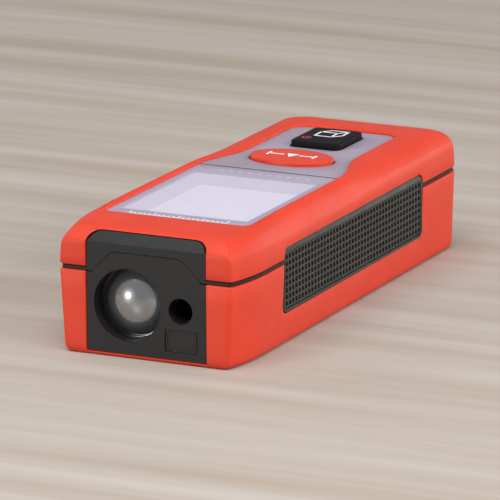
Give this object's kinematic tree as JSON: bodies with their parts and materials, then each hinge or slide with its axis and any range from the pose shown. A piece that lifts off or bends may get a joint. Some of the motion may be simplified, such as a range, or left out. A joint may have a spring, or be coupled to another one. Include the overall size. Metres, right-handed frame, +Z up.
{
  "type": "laser distance meter",
  "caption": "Pocket laser distance meter with display, oval measure button, mode button, side grips, receiver lens and sliding battery cover.",
  "frame": {"origin": "centre of the bounding box in plan, on the underside", "axes": "the lens end faces -Y, the long axis is Y, +Z up out of the display"},
  "size_m": [0.0388, 0.103, 0.0252],
  "materials": {
    "soft_red": "soft-touch overmould",
    "black_plastic": "fine moulded texture",
    "grip_rubber": "ribbed",
    "window_plastic": "clear, printed border",
    "panel_plastic": "fine grain",
    "button_red": "smooth silicone",
    "button_black": "smooth silicone",
    "lcd_glass": "display panel",
    "light_guide": "translucent white",
    "frame_grey": "moulded",
    "board_green": "solder mask",
    "chip_black": "moulded",
    "steel": "plated",
    "chassis_alloy": "die cast",
    "clear_glass": "polished lens",
    "filter_glass": "red filter",
    "black_anodised": "black anodised",
    "brass": "turned",
    "cell_wrap": "plain cell sleeve"
  },
  "bodies": {
    "housing": {"upper_case": "black_plastic", "lower_case": "black_plastic", "upper_overmould": "soft_red", "lower_overmould": "soft_red", "side_grip_left": "grip_rubber", "side_grip_right": "grip_rubber", "display_window": "window_plastic", "keypad_panel": "panel_plastic", "lcd_panel": "lcd_glass", "lcd_backlight": "light_guide", "lcd_frame": "frame_grey", "main_board": "board_green", "processor": "chip_black", "shield_can": "steel", "buzzer": "chip_black", "measure_switch": "steel", "mode_switch": "steel", "board_screw_1": "steel", "board_screw_2": "steel", "optics_chassis": "chassis_alloy", "receiver_lens": "clear_glass", "lens_retainer": "black_plastic", "optical_filter": "filter_glass", "receiver_sensor": "steel", "laser_barrel": "black_anodised", "collimator_lens": "clear_glass", "laser_diode": "brass", "battery_1": "cell_wrap", "battery_2": "cell_wrap", "contact_spring_front": "steel", "contact_spring_rear": "steel", "contact_plate_front": "steel", "contact_bridge_rear": "steel", "battery_tray": "black_plastic", "case_screw_1": "steel", "case_screw_2": "steel", "case_screw_3": "steel", "case_screw_4": "steel"},
    "measure_key": {"measure_button": "button_red"},
    "mode_key": {"mode_button": "button_black"},
    "cell_cover": {"battery_cover": "soft_red"}
  },
  "joints": [
    {"name": "measure_press", "type": "slide", "parent": "housing", "child": "measure_key", "axis": [0, 0, -1], "range_m": [0, 0.0008], "stiffness_N_per_m": 300},
    {"name": "mode_press", "type": "slide", "parent": "housing", "child": "mode_key", "axis": [0, 0, -1], "range_m": [0, 0.0008], "stiffness_N_per_m": 300},
    {"name": "cover_slide", "type": "slide", "parent": "housing", "child": "cell_cover", "axis": [0, 1, 0], "range_m": [0, 0.05]}
  ]
}
